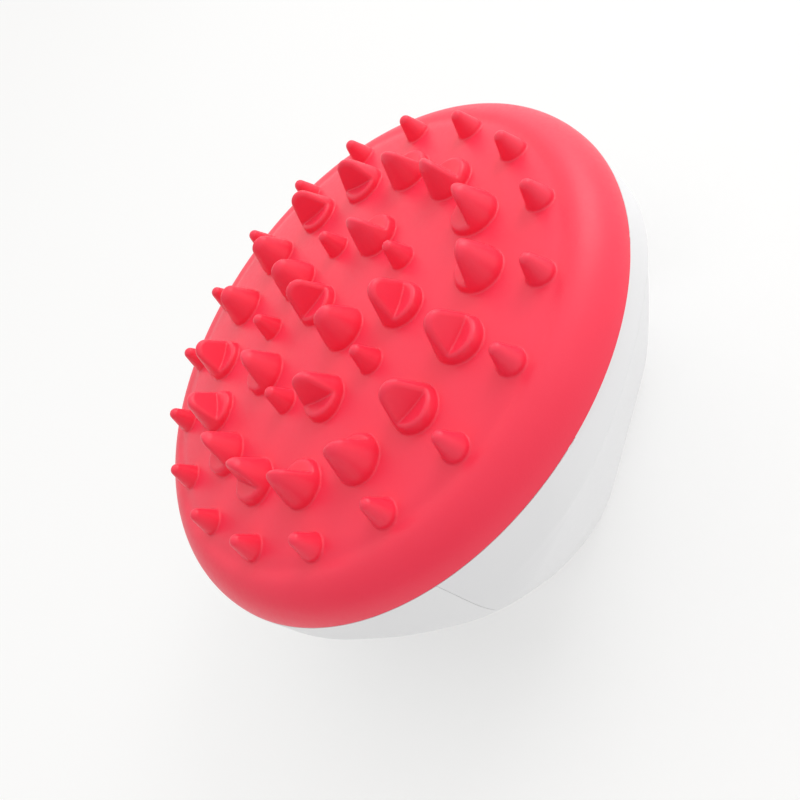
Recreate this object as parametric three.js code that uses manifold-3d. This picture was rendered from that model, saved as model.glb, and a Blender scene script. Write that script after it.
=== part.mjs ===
// Hand-held silicone massage and scalp brush, resting on the crown of its handle.
// Millimetres, +Z up along the bristles, handle and hand slot along X and Y.
// The origin is the middle of the flat handle crown, which the brush stands on.
import * as THREE from 'three';
import { mergeVertices } from 'three/addons/utils/BufferGeometryUtils.js';
import Module from 'manifold-3d';

const wasm = await Module();
wasm.setup();

// ---------------------------------------------------------------- dimensions
const GAP = 0.3;                 // clearance between separate pieces

// whole body
const BODY_RADIUS = 65;          // the brush is 130 mm across
const RING_TOP = 48.2;           // top edge of the white ring wall
const RING_UNDERSIDE = 38;       // lower edge of the ring over the hand slot
const WALL = 2.4;                // plastic wall thickness

// handle: a rounded rectangle at the crown that grows into the round of the ring
const FOOT_HALF_LENGTH = 42;     // half length of the crown along X, before rounding
const FOOT_HALF_WIDTH = 32.5;    // half width of the crown along Y, before rounding
const LENGTH_CURVE = 0.7;        // bulge of the ends on their way up to the ring
const SIDE_FLARE = 1.08;         // growth of the half width, mm per mm of height
const BOWL_FOOT_RADIUS = 55.7;   // radius of the bowl that rounds the corners, at the crown
const BOWL_FLARE = 0.29;         // growth of that radius, mm per mm of height
const CROWN_ROUND = 6;           // height of the rounding at the crown's edge
const CROWN_INSET = 5.5;         // how far that rounding draws the edge in
const CORNER_POWER = 5.5;        // squareness of the handle's horizontal section
const INSET_STRETCH = 1.18;      // lengthening of a wall measured across its lean

// hand slot through the arch
const SLOT_FLOOR = 9.5;          // top of the crown, the lower edge of the slot
const SLOT_FLAT = 17;            // half length of the flat roof of the slot
const SLOT_HALF_LENGTH = 42;     // widest half length of the slot
const SLOT_WAIST = 19;           // depth of that widest level below the slot's roof
const SLOT_LOW = 24;             // depth where its ends start to turn to its floor
const SLOT_CORNER = 11;          // length of the lower corners along X
const SLOT_BULGE = 6;            // length of the curve handle at the flat roof's ends

// seam between the handle cover and the base shell
const SEAM_ANGLE = THREE.MathUtils.degToRad(50);
const SEAM_BOTTOM = 24;          // below this level the cover is the whole outside
const LINER_TOP = 43.6;          // rim of the shell's inner wall
const HOLLOW_FLOOR = 15;         // floor of the shell's hollow handle ends
const FORM_TOP = 70;             // height that every filled form is built up to
const CUT_TOP = 60;              // height that cuts through the housing reach up to
const CUT_BOTTOM = -10;          // and the level that they start from
const OVERLAP = 0.01;            // overlap that joins two halves of one cut

// silicone pad
const DOME_TOP = 61.52;
const DOME_RADIUS = 389;
const SHOULDER_START = 56.5;     // radius where the flat dome rolls into the rim
const PAD_EDGE = 48.5;           // bottom edge of the pad's rim
const PAD_SKIN = 2.6;
const SHOULDER_HANDLES = [[60.65, 56.95], [64.6, 53.8]];   // curve from the dome to the rim
const SHOULDER_INSIDE = [[60.7, 51.9], [57.1, 54.65]];

// bristles
const ROOT_DEPTH = 1.4;          // how far a bristle's root is sunk into the skin
const SMALL_BASE = 2.95, SMALL_HEIGHT = 6.0;
const SMALL_PROFILE = [[1.6, 4.55], [1.044, 5.65]];
const TOOTH_BASE = 5.3, TOOTH_HEIGHT = 9.0;
const TOOTH_PROFILE = [[4.75, 2.2], [3.6, 5], [2.8, 7.1], [1.9, 8.3]];
const NOTCH_REACH = 1.5;         // groove line's distance from the tooth axis
const NOTCH_LEVEL = 2.0;         // groove line's height above the dome
const FACE_LEAN = 0.22;          // lean of the tall face, mm per mm of height
const SHELF_FALL = 0.05;         // fall of the shelf towards its lip, mm per mm
const CUTTER_REACH = 12, CUTTER_TOP = 14;
const OUTER_RING = { count: 18, radius: 52.36, start: 69.03 };
const MIDDLE_RING = { count: 16, radius: 39.1, start: 58.75 };
const INNER_RING = { count: 5, radius: 21.0, cones: 40.77, teeth: 4.77 };
const CENTRE_PAIR = { radius: 7.15, start: -28.27 };

// carrier plate and screws
const PLATE_THICKNESS = 2.2;
const SPIGOT_RADIUS = 62.1;      // rim that plugs into the ring wall
const SPIGOT_BOTTOM = 44, SPIGOT_SHOULDER = 48.4;
const PLATE_RIM_OUTSIDE = [[56.8, 54.3], [60.3, 51.6]];
const PLATE_RIM_INSIDE = [[57.4, 51.2], [53, 53.2]];
const SCREW_RADIUS = 40;         // distance of the screw posts from the centre
const POST_RADIUS = 3.7, POST_BORE = 1.6, POST_TOP = 52;
const POST_BOTTOM = 30, BORE_BOTTOM = 42;
const BOSS_RADIUS = 4.4, BOSS_BORE = 1.7, BOSS_RECESS = 3.3;
const HEAD_SEAT = 54.1;          // bottom of the recess for the screw heads
const BOSS_TOP = 55.4;
const RECESS_WIDTH = 3.2, RECESS_SLIT = 0.8, RECESS_DEPTH = 2, RECESS_MIDDLE = 56.2;
const SCREW_PROFILE = [[0, 43], [0.7, 44.2], [1.3, 45.4], [1.3, 54.4], [3, 54.4], [3, 55.4],
  [2.2, 56.1], [0, 56.1]];       // point, shank and head

// resolution
const AROUND = 64;               // sides of the round body
const FINE_CORNERS = 40, COARSE_CORNERS = 24;   // corners of the handle's section
const FINE_LEVELS = [0, 0.6, 2, 4, 6, 10, 16, 22, 27, 31, 34, 36.5, 38, 42];
const COARSE_LEVELS = [0, 2, 6, 14, 22, 30, 35, 38, 42];

// ------------------------------------------------------------------- helpers
const materials = {
  silicone: { color: 0xfb5568, roughness: 0.5 },
  whitePlastic: { color: 0xeeeef0, roughness: 0.38 },
  carrier: { color: 0xd9dadc, roughness: 0.55 },
  steel: { color: 0xb8bcc2, roughness: 0.35, metalness: 0.9 },
};

function toManifold(geometry) {
  const bare = geometry.index ? geometry.toNonIndexed() : geometry.clone();
  bare.deleteAttribute('normal');
  bare.deleteAttribute('uv');
  const merged = mergeVertices(bare, 1e-4);
  const source = merged.index.array;
  const corners = [];
  for (let i = 0; i < source.length; i += 3) {
    const [a, b, c] = [source[i], source[i + 1], source[i + 2]];
    if (a !== b && b !== c && a !== c) corners.push(a, b, c);
  }
  return new wasm.Manifold(new wasm.Mesh({
    numProp: 3,
    vertProperties: new Float32Array(merged.attributes.position.array),
    triVerts: new Uint32Array(corners),
  }));
}

function toGeometry(solid) {
  const mesh = solid.getMesh();
  const geometry = new THREE.BufferGeometry();
  geometry.setAttribute('position', new THREE.BufferAttribute(mesh.vertProperties, 3));
  geometry.setIndex(new THREE.BufferAttribute(mesh.triVerts, 1));
  geometry.computeVertexNormals();
  return geometry;
}

// A solid of revolution about Z from [radius, z] points that start and end on the axis.
function revolve(points, segments = AROUND) {
  const outline = points.map(([r, z]) => new THREE.Vector2(r, z));
  const geometry = new THREE.LatheGeometry(outline, segments);
  geometry.rotateX(Math.PI / 2);
  return toManifold(geometry);
}

function cylinder(radius, bottom, top, x = 0, y = 0, segments = 20) {
  return revolve([[0, bottom], [radius, bottom], [radius, top], [0, top]], segments)
    .translate(x, y, 0);
}

// --------------------------------------------------- outer form of the housing
// How far the rounded edge of the crown is drawn in at a height above its flat.
function crownInset(level) {
  const rise = Math.min(1, Math.max(0, level / CROWN_ROUND));
  return CROWN_INSET * (1 - Math.sqrt(1 - (1 - rise) ** 2));
}

// Half length of the housing along X at height z: ends that bulge up into the ring.
function halfLength(z, inset) {
  const below = Math.max(0, RING_UNDERSIDE - z) / RING_UNDERSIDE;
  const line = BODY_RADIUS - (BODY_RADIUS - FOOT_HALF_LENGTH) * below ** LENGTH_CURVE;
  return line - inset * INSET_STRETCH - crownInset(z - inset);
}

// Half width of the housing along Y at height z: straight flared sides.
function halfWidth(z, inset) {
  return FOOT_HALF_WIDTH + SIDE_FLARE * z - inset * INSET_STRETCH - crownInset(z - inset);
}

// The round bowl and ring that the housing stays within, moved inwards by inset.
function bowl(inset, top) {
  const bottom = -5;
  const brim = (BODY_RADIUS - BOWL_FOOT_RADIUS) / BOWL_FLARE;
  return revolve([[0, bottom], [BOWL_FOOT_RADIUS + BOWL_FLARE * bottom - inset, bottom],
    [BODY_RADIUS - inset, brim], [BODY_RADIUS - inset, top], [0, top]]);
}

// The whole outer form, filled in, moved inwards by inset: a stack of rounded
// rectangles, cut to the round of the bowl and ring.
function filledForm(inset, top, levels = FINE_LEVELS, corners = FINE_CORNERS) {
  const heights = [...levels.map((z) => z + inset), FORM_TOP];
  const power = 2 / CORNER_POWER;
  const positions = [];
  for (const z of heights) {
    for (let i = 0; i < corners; i++) {
      const angle = (2 * Math.PI * i) / corners;
      const c = Math.cos(angle), s = Math.sin(angle);
      positions.push(
        halfLength(z, inset) * Math.sign(c) * Math.abs(c) ** power,
        halfWidth(z, inset) * (i % (corners / 2) === 0 ? 0 : Math.sign(s) * Math.abs(s) ** power),
        z,
      );
    }
  }
  const bottomCentre = positions.length / 3;
  positions.push(0, 0, heights[0], 0, 0, FORM_TOP);
  const index = [];
  for (let k = 0; k < heights.length - 1; k++) {
    for (let i = 0; i < corners; i++) {
      const a = k * corners + i;
      const b = k * corners + ((i + 1) % corners);
      index.push(a, b, b + corners, a, b + corners, a + corners);
    }
  }
  const last = (heights.length - 1) * corners;
  for (let i = 0; i < corners; i++) {
    const next = (i + 1) % corners;
    index.push(bottomCentre, next, i, bottomCentre + 1, last + i, last + next);
  }
  const stack = new wasm.Manifold(new wasm.Mesh({
    numProp: 3,
    vertProperties: new Float32Array(positions),
    triVerts: new Uint32Array(index),
  }));
  return stack.intersect(bowl(inset, top));
}

// The hand slot, a rounded tunnel along Y, made larger all round by grow.
function handSlot(grow) {
  const shape = new THREE.Shape();
  const roof = RING_UNDERSIDE + grow;
  const wide = SLOT_HALF_LENGTH + grow * 1.1;
  const floor = SLOT_FLOOR - grow;
  shape.moveTo(-SLOT_FLAT, roof);
  shape.lineTo(SLOT_FLAT, roof);
  const halfway = roof - SLOT_WAIST / 2, waist = roof - SLOT_WAIST, low = roof - SLOT_LOW;
  const turn = wide - 2.5, corner = wide - SLOT_CORNER, middle = wide - SLOT_CORNER / 2;
  shape.bezierCurveTo(SLOT_FLAT + SLOT_BULGE, roof, wide + 1, halfway, wide, waist);
  shape.bezierCurveTo(turn, low, middle, floor, corner, floor);
  shape.lineTo(-corner, floor);
  shape.bezierCurveTo(-middle, floor, -turn, low, -wide, waist);
  shape.bezierCurveTo(-wide - 1, halfway, -SLOT_FLAT - SLOT_BULGE, roof, -SLOT_FLAT, roof);
  const tunnel = new THREE.ExtrudeGeometry(shape, {
    depth: 4 * BODY_RADIUS, bevelEnabled: false, curveSegments: 6,
  });
  tunnel.rotateX(Math.PI / 2);
  tunnel.translate(0, 2 * BODY_RADIUS, 0);
  return toManifold(tunnel);
}

// Everything within the seam angle of either handle end, with the cut moved by shift.
function seamSectors(shift, bottom, top) {
  const far = 2 * BODY_RADIUS;
  const shape = new THREE.Shape();
  const start = -shift / Math.sin(SEAM_ANGLE);
  shape.moveTo(start, 0);
  shape.lineTo(start + far * Math.cos(SEAM_ANGLE), far * Math.sin(SEAM_ANGLE));
  shape.lineTo(start + far * Math.cos(SEAM_ANGLE), -far * Math.sin(SEAM_ANGLE));
  const wedge = new THREE.ExtrudeGeometry(shape, { depth: top - bottom, bevelEnabled: false });
  wedge.translate(0, 0, bottom);
  const right = toManifold(wedge);
  return right.add(right.rotate(0, 0, 180));
}

// ------------------------------------------------------------ white plastic
const block = (bottom, top) => toManifold(
  new THREE.BoxGeometry(4 * BODY_RADIUS, 4 * BODY_RADIUS, top - bottom)
    .translate(0, 0, (bottom + top) / 2));

const outside = filledForm(0, RING_TOP).subtract(handSlot(0));

// Outer half of the handle with the ring wall at both of its ends.
const handleCover = outside
  .intersect(seamSectors(0, SEAM_BOTTOM - OVERLAP, CUT_TOP).add(block(CUT_BOTTOM, SEAM_BOTTOM)))
  .subtract(filledForm(WALL, CUT_TOP));

// Ring wall over the hand slot, floor, and the liner inside the handle.
const ringWall = outside
  .intersect(block(SEAM_BOTTOM + GAP, CUT_TOP))
  .subtract(seamSectors(GAP, CUT_BOTTOM, CUT_TOP))
  .subtract(filledForm(WALL, CUT_TOP).intersect(block(RING_UNDERSIDE + WALL, CUT_TOP)));
const liner = filledForm(WALL + GAP, LINER_TOP).subtract(handSlot(0));
const hollow = filledForm(2 * WALL + GAP, CUT_TOP, COARSE_LEVELS, COARSE_CORNERS)
  .subtract(handSlot(WALL))
  .subtract(block(CUT_BOTTOM, HOLLOW_FLOOR));

const screwPlaces = [45, 135, 225, 315].map((degrees) => {
  const angle = THREE.MathUtils.degToRad(degrees);
  return [SCREW_RADIUS * Math.cos(angle), SCREW_RADIUS * Math.sin(angle)];
});

let baseShell = ringWall.add(liner).subtract(hollow);
for (const [x, y] of screwPlaces) {
  baseShell = baseShell.add(cylinder(POST_RADIUS, POST_BOTTOM, POST_TOP, x, y).subtract(handSlot(0)));
}
for (const [x, y] of screwPlaces) {
  baseShell = baseShell.subtract(cylinder(POST_BORE, BORE_BOTTOM, FORM_TOP, x, y, 16));
}

// ------------------------------------------------------------- carrier plate
const domeHeight = (r) => DOME_TOP - (r * r) / (2 * DOME_RADIUS);
const domeRadii = [0, 20, 38, 52];

function plateProfile() {
  const below = PAD_SKIN + GAP;
  const top = domeRadii.map((r) => [r, domeHeight(r) - below]);
  const inner = SPIGOT_RADIUS - WALL;
  const rim = [...PLATE_RIM_OUTSIDE, [SPIGOT_RADIUS, SPIGOT_SHOULDER],
    [SPIGOT_RADIUS, SPIGOT_BOTTOM], [inner, SPIGOT_BOTTOM], [inner, SPIGOT_SHOULDER],
    ...PLATE_RIM_INSIDE];
  const underside = domeRadii.slice(0, 3).reverse()
    .map((r) => [r, domeHeight(r) - below - PLATE_THICKNESS]);
  return [...top, ...rim, ...underside].reverse();
}

let carrierPlate = revolve(plateProfile(), 40);
for (const [x, y] of screwPlaces) {
  carrierPlate = carrierPlate.add(cylinder(BOSS_RADIUS, POST_TOP + GAP, BOSS_TOP, x, y));
}
for (const [x, y] of screwPlaces) {
  carrierPlate = carrierPlate
    .subtract(cylinder(BOSS_BORE, BORE_BOTTOM, FORM_TOP, x, y, 16))
    .subtract(cylinder(BOSS_RECESS, HEAD_SEAT, FORM_TOP, x, y));
}

// -------------------------------------------------------------------- screws
const crossSlit = (length, width) => toManifold(
  new THREE.BoxGeometry(length, width, RECESS_DEPTH).translate(0, 0, RECESS_MIDDLE));

function plateScrew() {
  return revolve(SCREW_PROFILE, 12)
    .subtract(crossSlit(RECESS_WIDTH, RECESS_SLIT))
    .subtract(crossSlit(RECESS_SLIT, RECESS_WIDTH));
}

// -------------------------------------------------------------- silicone pad
function padProfile() {
  const shoulder = new THREE.CubicBezierCurve(
    new THREE.Vector2(SHOULDER_START, domeHeight(SHOULDER_START)),
    ...SHOULDER_HANDLES.map(([r, z]) => new THREE.Vector2(r, z)),
    new THREE.Vector2(BODY_RADIUS, PAD_EDGE),
  ).getPoints(5).map((p) => [p.x, p.y]);
  const top = domeRadii.map((r) => [r, domeHeight(r)]);
  const underside = domeRadii.slice().reverse().map((r) => [r, domeHeight(r) - PAD_SKIN]);
  const inner = [[SPIGOT_RADIUS + GAP, PAD_EDGE], ...SHOULDER_INSIDE];
  return [...top, ...shoulder, ...inner, ...underside].reverse();
}

// Round-nosed cone standing on the dome, with its root sunk into the skin.
function smallCone() {
  return revolve([[0, -ROOT_DEPTH], [SMALL_BASE, -ROOT_DEPTH], [SMALL_BASE, 0],
    ...SMALL_PROFILE, [0, SMALL_HEIGHT]], 7);
}

// Thick rounded tooth with a step cut into its +X side, down to a low lip.
function largeTooth() {
  const body = revolve([[0, -ROOT_DEPTH], [TOOTH_BASE, -ROOT_DEPTH], [TOOTH_BASE, 0],
    ...TOOTH_PROFILE, [0, TOOTH_HEIGHT]], 11);
  const step = new THREE.Shape();
  step.moveTo(NOTCH_REACH, NOTCH_LEVEL);
  step.lineTo(CUTTER_REACH, NOTCH_LEVEL - SHELF_FALL * (CUTTER_REACH - NOTCH_REACH));
  step.lineTo(CUTTER_REACH, CUTTER_TOP);
  step.lineTo(NOTCH_REACH - FACE_LEAN * (CUTTER_TOP - NOTCH_LEVEL), CUTTER_TOP);
  const cutter = new THREE.ExtrudeGeometry(step, { depth: CUTTER_TOP, bevelEnabled: false });
  cutter.rotateX(Math.PI / 2);
  cutter.translate(0, CUTTER_TOP / 2, 0);
  return body.subtract(toManifold(cutter));
}

const onDome = (solid, radius, degrees, turn = 0) => {
  const angle = THREE.MathUtils.degToRad(degrees);
  return solid.rotate(0, 0, degrees + turn).translate(
    radius * Math.cos(angle), radius * Math.sin(angle), domeHeight(radius));
};

let pad = revolve(padProfile());
const bristles = [];
const cone = smallCone();
const tooth = largeTooth();
for (let i = 0; i < OUTER_RING.count; i++) {
  const angle = OUTER_RING.start - (360 / OUTER_RING.count) * i;
  bristles.push(onDome(cone, OUTER_RING.radius, angle));
}
// Neighbouring teeth of the middle ring face outwards and inwards in pairs.
for (let i = 0; i < MIDDLE_RING.count; i++) {
  const inwards = Math.floor((i + 1) / 2) % 2 === 1;
  const angle = MIDDLE_RING.start - (360 / MIDDLE_RING.count) * i;
  bristles.push(onDome(tooth, MIDDLE_RING.radius, angle, inwards ? 180 : 0));
}
for (let i = 0; i < INNER_RING.count; i++) {
  const step = 360 / INNER_RING.count;
  bristles.push(onDome(cone, INNER_RING.radius, INNER_RING.cones + step * i));
  bristles.push(onDome(tooth, INNER_RING.radius, INNER_RING.teeth + step * i));
}
bristles.push(onDome(tooth, CENTRE_PAIR.radius, CENTRE_PAIR.start, 180));
bristles.push(onDome(tooth, CENTRE_PAIR.radius, CENTRE_PAIR.start + 180, 180));
for (const bristle of bristles) pad = pad.add(bristle);

// ------------------------------------------------------------------ assembly
const brush = new THREE.Group();

function addPiece(name, solid, look) {
  const mesh = new THREE.Mesh(toGeometry(solid), new THREE.MeshStandardMaterial(look));
  mesh.name = name;
  brush.add(mesh);
  return mesh;
}

addPiece('silicone_pad', pad, materials.silicone);
addPiece('carrier_plate', carrierPlate, materials.carrier);
addPiece('base_shell', baseShell, materials.whitePlastic);
addPiece('handle_cover', handleCover, materials.whitePlastic);
screwPlaces.forEach(([x, y], i) => {
  addPiece(`plate_screw_${i + 1}`, plateScrew(), materials.steel).position.set(x, y, 0);
});

export default brush;
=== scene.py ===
"""Visual model of a hand-held silicone massage brush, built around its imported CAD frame."""
import math

import bmesh
import bpy
import numpy as np
from mathutils import Matrix, Vector


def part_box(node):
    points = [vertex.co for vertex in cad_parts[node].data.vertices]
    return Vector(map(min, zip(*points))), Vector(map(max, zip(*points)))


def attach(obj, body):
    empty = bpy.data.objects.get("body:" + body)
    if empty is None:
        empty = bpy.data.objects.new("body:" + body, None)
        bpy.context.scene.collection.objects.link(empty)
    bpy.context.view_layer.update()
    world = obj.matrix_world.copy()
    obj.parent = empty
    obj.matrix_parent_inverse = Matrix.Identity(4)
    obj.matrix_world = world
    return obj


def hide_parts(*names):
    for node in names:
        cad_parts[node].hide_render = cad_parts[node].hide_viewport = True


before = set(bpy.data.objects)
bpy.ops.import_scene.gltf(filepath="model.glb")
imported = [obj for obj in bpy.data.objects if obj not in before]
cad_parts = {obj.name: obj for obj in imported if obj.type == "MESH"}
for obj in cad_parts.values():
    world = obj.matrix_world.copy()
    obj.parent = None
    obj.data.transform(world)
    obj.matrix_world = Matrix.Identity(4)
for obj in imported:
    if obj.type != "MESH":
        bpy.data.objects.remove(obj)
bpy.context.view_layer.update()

# ---------------------------------------------------------------- dimensions
# Millimetres in the frame of the CAD model: +Z along the bristles, hand slot along Y.
MM = 0.001

pad_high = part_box("silicone_pad")[1]
cover_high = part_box("handle_cover")[1]

BODY_RADIUS = pad_high.x / MM
RING_TOP = cover_high.z / MM
RING_UNDERSIDE = 38.0
WALL = 2.4
HOLLOW_SKIN = 0.05
RIM_GAP = 0.12

DOME_TOP = 61.52
DOME_RADIUS = 389.0
PAD_SKIN = 2.6
SHOULDER_RADIUS = 8.5
VALLEY_RADIUS, VALLEY_WIDTH, VALLEY_DEPTH = 55.8, 1.9, 0.35

SMALL_BASE, SMALL_TIP, SMALL_HEIGHT = 2.85, 1.45, 6.0
TOOTH_BASE, TOOTH_TIP, TOOTH_HEIGHT = 5.1, 2.95, 9.0
NOTCH_REACH, NOTCH_LEVEL = 1.5, 1.9
FACE_LEAN, DISH_DEPTH, LIP_STRETCH = 0.22, 0.45, 1.06
LIP_ROUND, TIP_ROUND, GROOVE_ROUND = 0.7, 1.2, 0.25
BRISTLE_FILLET = 0.4

OUTER_RING = {"count": 18, "radius": 52.36, "start": 69.03}
MIDDLE_RING = {"count": 16, "radius": 39.1, "start": 58.75}
INNER_RING = {"count": 5, "radius": 21.0, "cones": 40.77, "teeth": 4.77}
CENTRE_PAIR = {"radius": 7.15, "start": -28.27}

FOOT_HALF_LENGTH, FOOT_HALF_WIDTH = 42.0, 32.5
LENGTH_CURVE, SIDE_FLARE = 0.7, 1.08
BOWL_FOOT_RADIUS, BOWL_FLARE = 55.7, 0.29
CORNER_ROUND, BOWL_ROUND, CROWN_ROUND = 16.7, 11.0, 7.0
SLOT_EDGE_ROUND = 1.4
SEAM_GAP = 0.1
SLOT_FLOOR, SLOT_FLAT, SLOT_HALF_LENGTH = 9.5, 17.0, 42.0
SLOT_WAIST, SLOT_LOW, SLOT_CORNER, SLOT_BULGE = 19.0, 24.0, 11.0, 6.0
SEAM_ANGLE = math.radians(50)
SEAM_BOTTOM = 24.0
WELD_REACH = 0.02
WALL_EDGE_ROUND = 1.5

# the view: angles in degrees, lens in mm, distance and aim in metres
VIEW_AZIMUTH, VIEW_ELEVATION, VIEW_ROLL = 68.2, 39.56, 56.3
VIEW_LENS, VIEW_SENSOR, VIEW_DISTANCE = 38.52, 36, 0.2
VIEW_AIM = Vector((0.0031, -0.0084, 0.0369))
LIGHT_AIM = Vector((0, 0, 0.04))
BRIGHT_SIDE = Vector((0.08, 0.85, 0.4)).normalized()
DIM_SKY, BRIGHT_SKY = 0.3, 1.32


# ------------------------------------------------------------ implicit solids
# A solid is a function of points that is negative inside it and grows by 1 per mm.
def round_max(a, b, radius):
    """Intersection of two solids, with its convex edge rounded."""
    return np.minimum(np.maximum(a, b), -radius) + np.hypot(
        np.maximum(a + radius, 0), np.maximum(b + radius, 0)
    )


def round_min(a, b, radius):
    """Union of two solids, with its concave corner filleted."""
    return -round_max(-a, -b, radius)


def rounded_cone(q, h, base, tip, length):
    """Cone from a sphere of radius base at height 0 to one of radius tip at height length."""
    b = (base - tip) / length
    a = math.sqrt(1 - b * b)
    along = a * h - b * q
    side = a * q + b * h - base
    result = np.where(along < 0, np.hypot(q, h) - base, side)
    return np.where(along > a * length, np.hypot(q, h - length) - tip, result)


# ------------------------------------------------------------------ the pad
def dome_height(radius):
    return DOME_TOP - radius * radius / (2 * DOME_RADIUS)


def list_bristles():
    """Every bristle as (x, y, z of its foot, direction of its notch or None)."""
    found = []

    def add(radius, degrees, turn):
        angle = math.radians(degrees)
        notch = None if turn is None else math.radians(degrees + turn)
        x, y = radius * math.cos(angle), radius * math.sin(angle)
        found.append((x, y, dome_height(radius), notch))

    for i in range(OUTER_RING["count"]):
        add(OUTER_RING["radius"], OUTER_RING["start"] - 360 / OUTER_RING["count"] * i, None)
    for i in range(MIDDLE_RING["count"]):
        turn = 180 if (i + 1) // 2 % 2 == 1 else 0
        add(MIDDLE_RING["radius"], MIDDLE_RING["start"] - 360 / MIDDLE_RING["count"] * i, turn)
    for i in range(INNER_RING["count"]):
        step = 360 / INNER_RING["count"]
        add(INNER_RING["radius"], INNER_RING["cones"] + step * i, None)
        add(INNER_RING["radius"], INNER_RING["teeth"] + step * i, 0)
    for side in (0, 180):
        add(CENTRE_PAIR["radius"], CENTRE_PAIR["start"] + side, 180)
    return found


BRISTLES = list_bristles()


def small_cone(q, h):
    return rounded_cone(q, h, SMALL_BASE, SMALL_TIP, SMALL_HEIGHT - SMALL_TIP)


def large_tooth(u, v, h):
    """Thick rounded tooth, stepped on its +u side down to a low, slightly dished lip."""
    q = np.hypot(np.where(u > 0, u / LIP_STRETCH, u), v)
    body = rounded_cone(q, h, TOOTH_BASE, TOOTH_TIP, TOOTH_HEIGHT - TOOTH_TIP)
    face = Vector((1, FACE_LEAN)).normalized()
    from_face = face.x * (u - NOTCH_REACH) + face.y * (h - NOTCH_LEVEL)
    over_shelf = h - NOTCH_LEVEL - DISH_DEPTH * (q / TOOTH_BASE) ** 2
    high = np.clip((h - NOTCH_LEVEL) / TOOTH_BASE, 0, 1)
    edge_round = LIP_ROUND + (TIP_ROUND - LIP_ROUND) * high
    return round_max(body, round_min(from_face, over_shelf, GROOVE_ROUND), edge_round)


def pad_parts(p):
    """The pad with its bristles, running on downwards, and distance below its lower edge."""
    x, y, z = p.T
    r = np.hypot(x, y)
    dome = np.hypot(r, z - DOME_TOP + DOME_RADIUS) - DOME_RADIUS
    dome += VALLEY_DEPTH * np.exp(-((r - VALLEY_RADIUS) / VALLEY_WIDTH) ** 2)
    skin = round_max(dome, r - BODY_RADIUS, SHOULDER_RADIUS)
    outside = skin.copy()
    reach = TOOTH_BASE + 4
    high = np.flatnonzero((skin > -4) & (z > dome_height(BODY_RADIUS - 5)))
    for bx, by, bz, notch in BRISTLES:
        near = high[(np.abs(x[high] - bx) < reach) & (np.abs(y[high] - by) < reach)]
        if not len(near):
            continue
        dx, dy, h = x[near] - bx, y[near] - by, z[near] - bz
        if notch is None:
            bristle = small_cone(np.hypot(dx, dy), h)
        else:
            c, s = math.cos(notch), math.sin(notch)
            bristle = large_tooth(c * dx + s * dy, c * dy - s * dx, h)
        outside[near] = round_min(outside[near], bristle, BRISTLE_FILLET)
    return np.maximum(outside, -(skin + PAD_SKIN)), RING_TOP + RIM_GAP - z


# -------------------------------------------------------------- the housing
def bezier(p0, p1, p2, p3, count):
    t = np.linspace(0, 1, count, endpoint=False)[:, None]
    p0, p1, p2, p3 = (np.array(p, float) for p in (p0, p1, p2, p3))
    return (1 - t) ** 3 * p0 + 3 * t * (1 - t) ** 2 * p1 + 3 * t * t * (1 - t) * p2 + t ** 3 * p3


def slot_outline():
    """Closed outline of the hand slot in X and Z."""
    roof, wide, floor = RING_UNDERSIDE, SLOT_HALF_LENGTH, SLOT_FLOOR
    waist, halfway = (wide, roof - SLOT_WAIST), (wide + 1, roof - SLOT_WAIST / 2)
    low, middle = (wide - 2.5, roof - SLOT_LOW), (wide - SLOT_CORNER / 2, floor)
    corner = (wide - SLOT_CORNER, floor)
    upper = bezier((SLOT_FLAT, roof), (SLOT_FLAT + SLOT_BULGE, roof), halfway, waist, 60)
    lower = bezier(waist, low, middle, corner, 40)
    right = np.vstack([upper, lower, [corner]])
    return np.vstack([right, right[::-1] * (-1, 1)])


def outline_distance(points, outline):
    """Signed distance of points from a closed outline, negative inside it."""
    best = np.full(len(points), 1e9)
    inside = np.zeros(len(points), bool)
    for a, b in zip(outline, np.roll(outline, -1, axis=0)):
        edge = b - a
        if not edge.any():
            continue
        t = np.clip((points - a) @ edge / (edge @ edge), 0, 1)
        best = np.minimum(best, np.hypot(*(points - a - t[:, None] * edge).T))
        crosses = (a[1] > points[:, 1]) != (b[1] > points[:, 1])
        if a[1] != b[1]:
            at = a[0] + (points[:, 1] - a[1]) / (b[1] - a[1]) * edge[0]
            inside ^= crosses & (points[:, 0] < at)
    return np.where(inside, -best, best)


SLOT_STEP = 0.1
SLOT_X = np.arange(-2, 70, SLOT_STEP)
SLOT_Z = np.arange(-4, 62, SLOT_STEP)
grid_x, grid_z = np.meshgrid(SLOT_X, SLOT_Z, indexing="ij")
SLOT_TABLE = outline_distance(np.stack([grid_x.ravel(), grid_z.ravel()], 1), slot_outline())
SLOT_TABLE = SLOT_TABLE.reshape(grid_x.shape)


def hand_slot(x, z):
    """Distance from the hand slot, read between the points of a fine table."""
    i = np.clip((np.abs(x) - SLOT_X[0]) / SLOT_STEP, 0, len(SLOT_X) - 1.001)
    k = np.clip((z - SLOT_Z[0]) / SLOT_STEP, 0, len(SLOT_Z) - 1.001)
    i0, k0 = i.astype(int), k.astype(int)
    di, dk = i - i0, k - k0
    low = SLOT_TABLE[i0, k0] * (1 - di) + SLOT_TABLE[i0 + 1, k0] * di
    high = SLOT_TABLE[i0, k0 + 1] * (1 - di) + SLOT_TABLE[i0 + 1, k0 + 1] * di
    return low * (1 - dk) + high * dk


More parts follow.
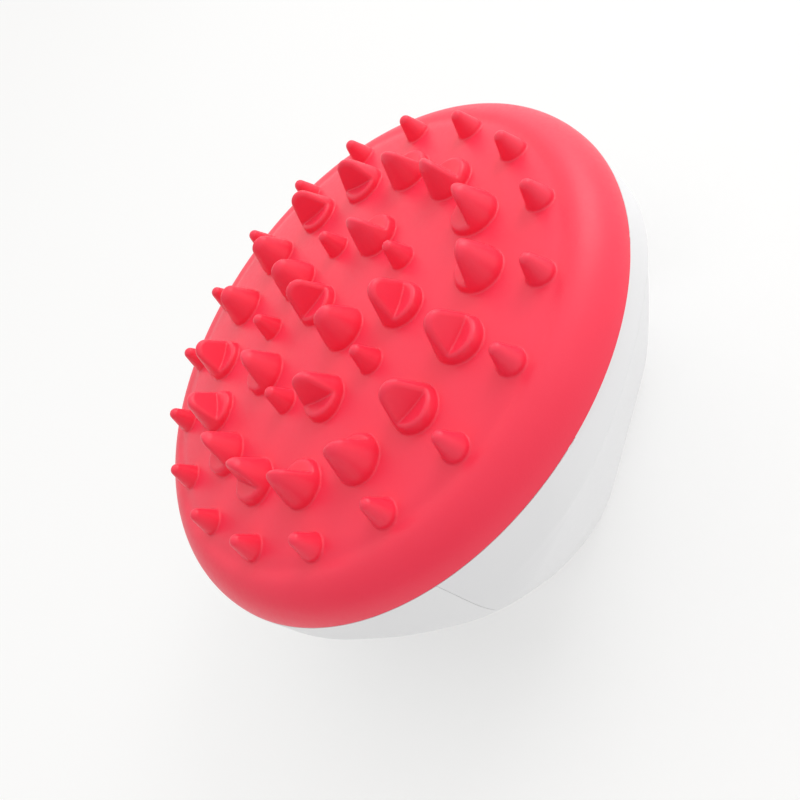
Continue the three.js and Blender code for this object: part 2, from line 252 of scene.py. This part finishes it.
def filled_form(x, y, z):
    """The housing's outer form, filled in, without its flat top."""
    ax, ay, radius = np.abs(x), np.abs(y), np.hypot(x, y)
    below = np.maximum(RING_UNDERSIDE - z, 0) / RING_UNDERSIDE
    growth = BODY_RADIUS - FOOT_HALF_LENGTH
    lean = growth * LENGTH_CURVE / RING_UNDERSIDE * np.maximum(below, 0.05) ** (LENGTH_CURVE - 1)
    end = (ax - BODY_RADIUS + growth * below ** LENGTH_CURVE) / np.hypot(1, lean)
    side = (ay - FOOT_HALF_WIDTH - SIDE_FLARE * z) / math.hypot(1, SIDE_FLARE)
    bowl = (radius - BOWL_FOOT_RADIUS - BOWL_FLARE * z) / math.hypot(1, BOWL_FLARE)
    form = round_max(round_max(end, side, CORNER_ROUND), bowl, BOWL_ROUND)
    form = round_max(form, radius - BODY_RADIUS, WALL_EDGE_ROUND)
    return round_max(form, -z, CROWN_ROUND)


def housing_parts(p):
    """Solid housing, depth below its outer form, and distance outside the cover's region."""
    x, y, z = p.T
    form = filled_form(x, y, z)
    slot = hand_slot(x, z)
    body = round_max(np.maximum(form, z - RING_TOP), -slot, SLOT_EDGE_ROUND)
    hollow = np.maximum(form + WALL + HOLLOW_SKIN, WALL - slot)
    body = np.maximum(body, -hollow)
    plane = np.abs(y) * math.cos(SEAM_ANGLE) - np.abs(x) * math.sin(SEAM_ANGLE)
    return body, form, np.minimum(plane, z - SEAM_BOTTOM)


def cover_solid(p):
    body, form, outside_cover = housing_parts(p)
    return body, np.maximum(-(form + WALL), outside_cover)


def shell_solid(p):
    body, form, outside_cover = housing_parts(p)
    return body, np.minimum(form + WALL, -outside_cover) + SEAM_GAP


# ---------------------------------------------------------------- mesh making
def gradient(function, p, h=0.06):
    """Central differences of each of a solid's parts, as an array of parts, points and axes."""
    columns = []
    for axis in range(3):
        shift = np.zeros(3)
        shift[axis] = h
        columns.append((np.array(function(p + shift)) - np.array(function(p - shift))) / (2 * h))
    return np.stack(columns, -1)


def surface_net(solid, low, high, step):
    """Vertices and quads of a solid's surface: one vertex in each grid cell that it crosses."""
    axes = [np.arange(a, b + step, step) for a, b in zip(low, high)]
    shape = tuple(len(a) for a in axes)
    values = np.empty(shape, np.float32)
    for i in range(0, shape[0], 16):
        block = np.meshgrid(axes[0][i:i + 16], axes[1], axes[2], indexing="ij")
        points = np.stack([c.ravel() for c in block], 1)
        values[i:i + 16] = solid(points).reshape(block[0].shape)
    inside = values < 0
    corners = [(a, b, c) for a in (0, 1) for b in (0, 1) for c in (0, 1)]

    def cells(array, corner):
        a, b, c = corner
        return array[a:shape[0] - 1 + a, b:shape[1] - 1 + b, c:shape[2] - 1 + c]

    count = sum(cells(inside, c).astype(np.int8) for c in corners)
    active = np.argwhere((count > 0) & (count < 8))
    corner_values = {c: values[tuple((active + c).T)] for c in corners}
    total = np.zeros((len(active), 3))
    crossings = np.zeros(len(active))
    for c in corners:
        for axis in range(3):
            if c[axis]:
                continue
            other = tuple(1 if k == axis else c[k] for k in range(3))
            v0, v1 = corner_values[c], corner_values[other]
            cut = (v0 < 0) != (v1 < 0)
            t = np.where(cut, v0 / np.where(cut, v0 - v1, 1), 0)
            place = np.array(c, float) + t[:, None] * (np.arange(3) == axis)
            total += place * cut[:, None]
            crossings += cut
    vertices = (active + total / crossings[:, None]) * step + [a[0] for a in axes]
    index = np.full(tuple(n - 1 for n in shape), -1, np.int64)
    index[tuple(active.T)] = np.arange(len(active))
    quads = []
    for axis in range(3):
        along = [slice(None)] * 3
        along[axis] = slice(0, -1)
        ahead = [slice(None)] * 3
        ahead[axis] = slice(1, None)
        first, second = inside[tuple(along)], inside[tuple(ahead)]
        one, two = [k for k in range(3) if k != axis]
        edges = np.argwhere(first != second)
        edges = edges[(edges[:, one] > 0) & (edges[:, two] > 0)]
        edges = edges[(edges[:, one] < shape[one] - 1) & (edges[:, two] < shape[two] - 1)]
        ring = []
        for back_one, back_two in ((1, 1), (0, 1), (0, 0), (1, 0)):
            cell = edges.copy()
            cell[:, one] -= back_one
            cell[:, two] -= back_two
            ring.append(index[tuple(cell.T)])
        faces = np.stack(ring, 1)
        outwards = first[tuple(edges.T)]
        if axis == 1:
            outwards = ~outwards
        quads.append(np.where(outwards[:, None], faces, faces[:, ::-1]))
    return vertices, np.vstack(quads)


def relax(vertices, quads, normals, held):
    """Slides vertices along the surface towards the middle of their neighbours."""
    pairs = np.vstack([quads[:, [k, (k + 1) % 4]] for k in range(4)])
    pairs = np.vstack([pairs, pairs[:, ::-1]])
    count = np.bincount(pairs[:, 0], minlength=len(vertices))
    centre = np.stack([
        np.bincount(pairs[:, 0], weights=vertices[pairs[:, 1], k], minlength=len(vertices)) / count
        for k in range(3)
    ], 1)
    move = 0.5 * (centre - vertices)
    move -= (move * normals).sum(1)[:, None] * normals
    move[held] = 0
    return vertices + move


def settle(parts, vertices, step, rounds=2):
    """Moves vertices onto the surface; returns them and the surface's normals there."""
    for _ in range(rounds):
        values = np.array(parts(vertices))
        slopes = gradient(parts, vertices)
        top = values.argmax(0)
        at = np.arange(len(vertices))
        value, slope = values[top, at], slopes[top, at]
        size = np.maximum((slope * slope).sum(1), 1e-3)
        move = -(value / size)[:, None] * slope
        length = np.linalg.norm(move, axis=1)
        vertices = vertices + move * np.minimum(1, step / np.maximum(length, 1e-9))[:, None]
    return vertices, slope / np.sqrt(size)[:, None]


def snap_to_edges(parts, vertices, step):
    """Puts vertices near the crisp edge of a solid of two parts exactly on that edge."""
    values = np.array(parts(vertices))
    near = np.flatnonzero(np.abs(values).max(0) < 0.8 * step)
    start = vertices[near]
    p = start.copy()
    for _ in range(3):
        a, b = parts(p)
        ga, gb = gradient(parts, p)
        aa, bb, ab = (ga * ga).sum(1), (gb * gb).sum(1), (ga * gb).sum(1)
        fine = aa * bb - ab * ab
        fine[fine < 0.05] = np.inf
        wa, wb = (a * bb - b * ab) / fine, (b * aa - a * ab) / fine
        p = p - wa[:, None] * ga - wb[:, None] * gb
    good = np.linalg.norm(p - start, axis=1) < 1.5 * step
    vertices[near[good]] = p[good]
    return near[good]


def fit_mesh(parts, low, high, step, more_edges=None):
    """Evenly spaced vertices and quads on a solid of two parts, with its crisp edges kept."""
    solid = lambda p: np.maximum(*parts(p))
    vertices, quads = surface_net(solid, low, high, step)
    vertices, normals = settle(parts, vertices, step)
    held = snap_to_edges(parts, vertices, step)
    if more_edges:
        held = np.union1d(held, snap_to_edges(more_edges, vertices, step))
    for _ in range(2):
        vertices = relax(vertices, quads, normals, held)
        kept = vertices[held]
        vertices, normals = settle(parts, vertices, step, 1)
        vertices[held] = kept
    return vertices, quads


def weld(mesh):
    """Joins the points that snapping has brought together on an edge."""
    work = bmesh.new()
    work.from_mesh(mesh)
    bmesh.ops.remove_doubles(work, verts=work.verts, dist=WELD_REACH * MM)
    work.to_mesh(mesh)
    work.free()


def make_object(name, vertices, faces):
    mesh = bpy.data.meshes.new(name)
    corners = faces.shape[1]
    mesh.vertices.add(len(vertices))
    mesh.vertices.foreach_set("co", (vertices * MM).astype(np.float32).ravel())
    mesh.loops.add(faces.size)
    mesh.loops.foreach_set("vertex_index", faces.astype(np.int32).ravel())
    mesh.polygons.add(len(faces))
    mesh.polygons.foreach_set("loop_start", np.arange(0, faces.size, corners, dtype=np.int32))
    mesh.polygons.foreach_set("use_smooth", np.ones(len(faces), bool))
    mesh.update(calc_edges=True)
    weld(mesh)
    mesh.validate()
    obj = bpy.data.objects.new(name, mesh)
    bpy.context.scene.collection.objects.link(obj)
    return obj


def thin_out(obj, most_faces):
    """Collapses the flattest places of a mesh until it has at most that many triangles."""
    triangles = sum(len(p.vertices) - 2 for p in obj.data.polygons)
    if triangles <= most_faces:
        return
    thin = obj.modifiers.new("thin", "DECIMATE")
    thin.ratio = most_faces / triangles
    graph = bpy.context.evaluated_depsgraph_get()
    mesh = bpy.data.meshes.new_from_object(obj.evaluated_get(graph))
    obj.modifiers.clear()
    old, obj.data = obj.data, mesh
    bpy.data.meshes.remove(old)
    mesh.name = obj.name


def mesh_points(mesh):
    flat = np.empty(len(mesh.vertices) * 3, np.float32)
    mesh.vertices.foreach_get("co", flat)
    return flat.reshape(-1, 3).astype(float) / MM


def build_pad():
    step = 0.4
    low = (-BODY_RADIUS - 1, -BODY_RADIUS - 1, RING_TOP - 1)
    high = (BODY_RADIUS + 1, BODY_RADIUS + 1, pad_high.z / MM + 1)
    vertices, quads = fit_mesh(pad_parts, low, high, step)
    pad = make_object("pad_moulding", vertices, quads)
    thin_out(pad, 190_000)
    vertices, normals = settle(pad_parts, mesh_points(pad.data), step)
    edge = snap_to_edges(pad_parts, vertices, 0.2)
    slope = gradient(pad_parts, vertices[edge])[0]
    normals[edge] = slope / np.linalg.norm(slope, axis=1)[:, None]
    pad.data.vertices.foreach_set("co", (vertices * MM).astype(np.float32).ravel())
    pad.data.polygons.foreach_set("use_smooth", np.ones(len(pad.data.polygons), bool))
    pad.data.normals_split_custom_set_from_vertices([tuple(n) for n in normals])
    return pad


def ring_edge(p):
    """The ring's outer face and its flat top, which meet in a crisp edge."""
    x, y, z = p.T
    return np.hypot(x, y) - BODY_RADIUS, z - RING_TOP


def build_housing_piece(name, parts, step):
    low = (-BODY_RADIUS - 1, -BODY_RADIUS - 1, -1)
    high = (BODY_RADIUS + 1, BODY_RADIUS + 1, RING_TOP + 1)
    vertices, quads = fit_mesh(parts, low, high, step, ring_edge)
    piece = make_object(name, vertices, quads)
    piece.data.set_sharp_from_angle(angle=math.radians(40))
    return piece


# ----------------------------------------------------------------- materials
def new_material(name, colour, roughness, specular=0.5):
    material = bpy.data.materials.new(name)
    material.use_nodes = True
    shader = material.node_tree.nodes["Principled BSDF"]
    shader.inputs["Base Color"].default_value = (*colour, 1)
    shader.inputs["Roughness"].default_value = roughness
    shader.inputs["Specular IOR Level"].default_value = specular
    return material, material.node_tree, shader


def noise(tree, scale, detail=3.0, roughness=0.5):
    """Noise over the piece's own coordinates; scale is in features per metre."""
    place = tree.nodes.new("ShaderNodeTexCoord")
    node = tree.nodes.new("ShaderNodeTexNoise")
    node.inputs["Scale"].default_value = scale
    node.inputs["Detail"].default_value = detail
    node.inputs["Roughness"].default_value = roughness
    tree.links.new(place.outputs["Object"], node.inputs["Vector"])
    return node.outputs["Fac"]


def spread(tree, source, low, high, start=0.3, end=0.7):
    """Maps a noise value to a range of numbers."""
    node = tree.nodes.new("ShaderNodeMapRange")
    node.inputs["From Min"].default_value = start
    node.inputs["From Max"].default_value = end
    node.inputs["To Min"].default_value = low
    node.inputs["To Max"].default_value = high
    tree.links.new(source, node.inputs["Value"])
    return node.outputs["Result"]


def mix_colours(tree, source, first, second):
    node = tree.nodes.new("ShaderNodeMix")
    node.data_type = "RGBA"
    node.inputs["A"].default_value = (*first, 1)
    node.inputs["B"].default_value = (*second, 1)
    tree.links.new(source, node.inputs["Factor"])
    return node.outputs["Result"]


def bump(tree, source, height, strength=1.0):
    """Bump whose full height is given in metres."""
    node = tree.nodes.new("ShaderNodeBump")
    node.inputs["Strength"].default_value = strength
    node.inputs["Distance"].default_value = height
    tree.links.new(source, node.inputs["Height"])
    return node.outputs["Normal"]


def silicone_material():
    material, tree, shader = new_material("coral_silicone", (0.94, 0.03, 0.075), 0.42, 0.48)
    cloud = spread(tree, noise(tree, 45), 0, 1)
    tint = mix_colours(tree, cloud, (0.93, 0.028, 0.072), (0.95, 0.033, 0.08))
    tree.links.new(tint, shader.inputs["Base Color"])
    tree.links.new(spread(tree, noise(tree, 900), 0.38, 0.46), shader.inputs["Roughness"])
    tree.links.new(bump(tree, noise(tree, 2600, 4), 0.00002), shader.inputs["Normal"])
    shader.inputs["Subsurface Weight"].default_value = 0.12
    shader.inputs["Subsurface Radius"].default_value = (1.0, 0.25, 0.25)
    shader.inputs["Subsurface Scale"].default_value = 0.002
    return material


def plastic_material(name, first, second, roughness, grain=0.000012):
    material, tree, shader = new_material(name, first, roughness)
    tint = mix_colours(tree, spread(tree, noise(tree, 30), 0, 1), first, second)
    tree.links.new(tint, shader.inputs["Base Color"])
    rough = spread(tree, noise(tree, 700), roughness - 0.04, roughness + 0.05)
    tree.links.new(rough, shader.inputs["Roughness"])
    tree.links.new(bump(tree, noise(tree, 3500, 4), grain), shader.inputs["Normal"])
    return material


def steel_material():
    material, tree, shader = new_material("screw_steel", (0.6, 0.61, 0.63), 0.3)
    shader.inputs["Metallic"].default_value = 1.0
    tree.links.new(spread(tree, noise(tree, 2500), 0.24, 0.4), shader.inputs["Roughness"])
    tree.links.new(bump(tree, noise(tree, 5000), 0.00001), shader.inputs["Normal"])
    return material


def paint(obj, material):
    obj.data.materials.clear()
    obj.data.materials.append(material)


# -------------------------------------------------------------------- pieces
pad = build_pad()
cover = build_housing_piece("handle_cover_moulding", cover_solid, 0.6)
shell = build_housing_piece("base_shell_moulding", shell_solid, 0.65)

white = (0.8, 0.8, 0.815)
paint(pad, silicone_material())
paint(cover, plastic_material("white_cover_plastic", white, (0.815, 0.815, 0.825), 0.36))
paint(shell, plastic_material("white_shell_plastic", (0.83, 0.83, 0.84), (0.845, 0.845, 0.855), 0.36))
paint(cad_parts["carrier_plate"],
      plastic_material("carrier_plastic", (0.66, 0.66, 0.67), (0.7, 0.7, 0.71), 0.5, 0.00003))
steel = steel_material()
for number in (1, 2, 3, 4):
    paint(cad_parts[f"plate_screw_{number}"], steel)

for piece, node, slot in (
    (pad, "silicone_pad", "silicone"),
    (cover, "handle_cover", "cover_plastic"),
    (shell, "base_shell", "white_plastic"),
):
    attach(piece, "root")
    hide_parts(node)


# --------------------------------------------------------------------- stage
def make_floor():
    mesh = bpy.data.meshes.new("floor")
    half = 4.0
    corners = [(-half, -half, 0), (half, -half, 0), (half, half, 0), (-half, half, 0)]
    mesh.from_pydata(corners, [], [(0, 1, 2, 3)])
    floor = bpy.data.objects.new("floor", mesh)
    bpy.context.scene.collection.objects.link(floor)
    material, _, shader = new_material("backlit_floor", (0.5, 0.5, 0.5), 0.9, 0.1)
    shader.inputs["Emission Color"].default_value = (1, 0.995, 0.985, 1)
    shader.inputs["Emission Strength"].default_value = 0.45
    paint(floor, material)


def area_light(name, direction, distance, size, power, target):
    """Square soft light that looks at target from that direction."""
    data = bpy.data.lights.new(name, "AREA")
    data.size = size
    data.energy = power
    light = bpy.data.objects.new(name, data)
    back = Vector(direction).normalized()
    light.location = target + back * distance
    light.rotation_euler = back.to_track_quat("Z", "Y").to_euler()
    bpy.context.scene.collection.objects.link(light)


def light_stage(target):
    """Soft studio: a sky that is brightest over the far side, and one wide key light there."""
    world = bpy.data.worlds.new("studio")
    world.use_nodes = True
    tree = world.node_tree
    sky = tree.nodes["Background"]
    sky.inputs["Color"].default_value = (1.0, 0.998, 0.99, 1)
    direction = tree.nodes.new("ShaderNodeTexCoord")
    towards = tree.nodes.new("ShaderNodeVectorMath")
    towards.operation = "DOT_PRODUCT"
    towards.inputs[1].default_value = BRIGHT_SIDE
    tree.links.new(direction.outputs["Generated"], towards.inputs[0])
    strength = spread(tree, towards.outputs["Value"], DIM_SKY, BRIGHT_SKY, -1, 1)
    tree.links.new(strength, sky.inputs["Strength"])
    bpy.context.scene.world = world
    area_light("key", (0.3, 0.8, 0.5), 0.8, 0.4, 1.4, target)


def place_camera(target):
    """Camera at the view's azimuth, elevation and roll, close enough for its strong perspective."""
    azimuth, elevation = math.radians(VIEW_AZIMUTH), math.radians(VIEW_ELEVATION)
    back = Vector((
        math.sin(azimuth) * math.cos(elevation),
        -math.cos(azimuth) * math.cos(elevation),
        math.sin(elevation),
    ))
    data = bpy.data.cameras.new("camera")
    data.lens = VIEW_LENS
    data.sensor_width = VIEW_SENSOR
    data.clip_start = 0.01
    camera = bpy.data.objects.new("camera", data)
    upright = back.to_track_quat("Z", "Y").to_matrix().to_4x4()
    turned = upright @ Matrix.Rotation(-math.radians(VIEW_ROLL), 4, "Z")
    camera.matrix_world = Matrix.Translation(target + back * VIEW_DISTANCE) @ turned
    bpy.context.scene.collection.objects.link(camera)
    bpy.context.scene.camera = camera


bpy.context.scene.view_settings.view_transform = "Standard"
make_floor()
light_stage(LIGHT_AIM)
place_camera(VIEW_AIM)
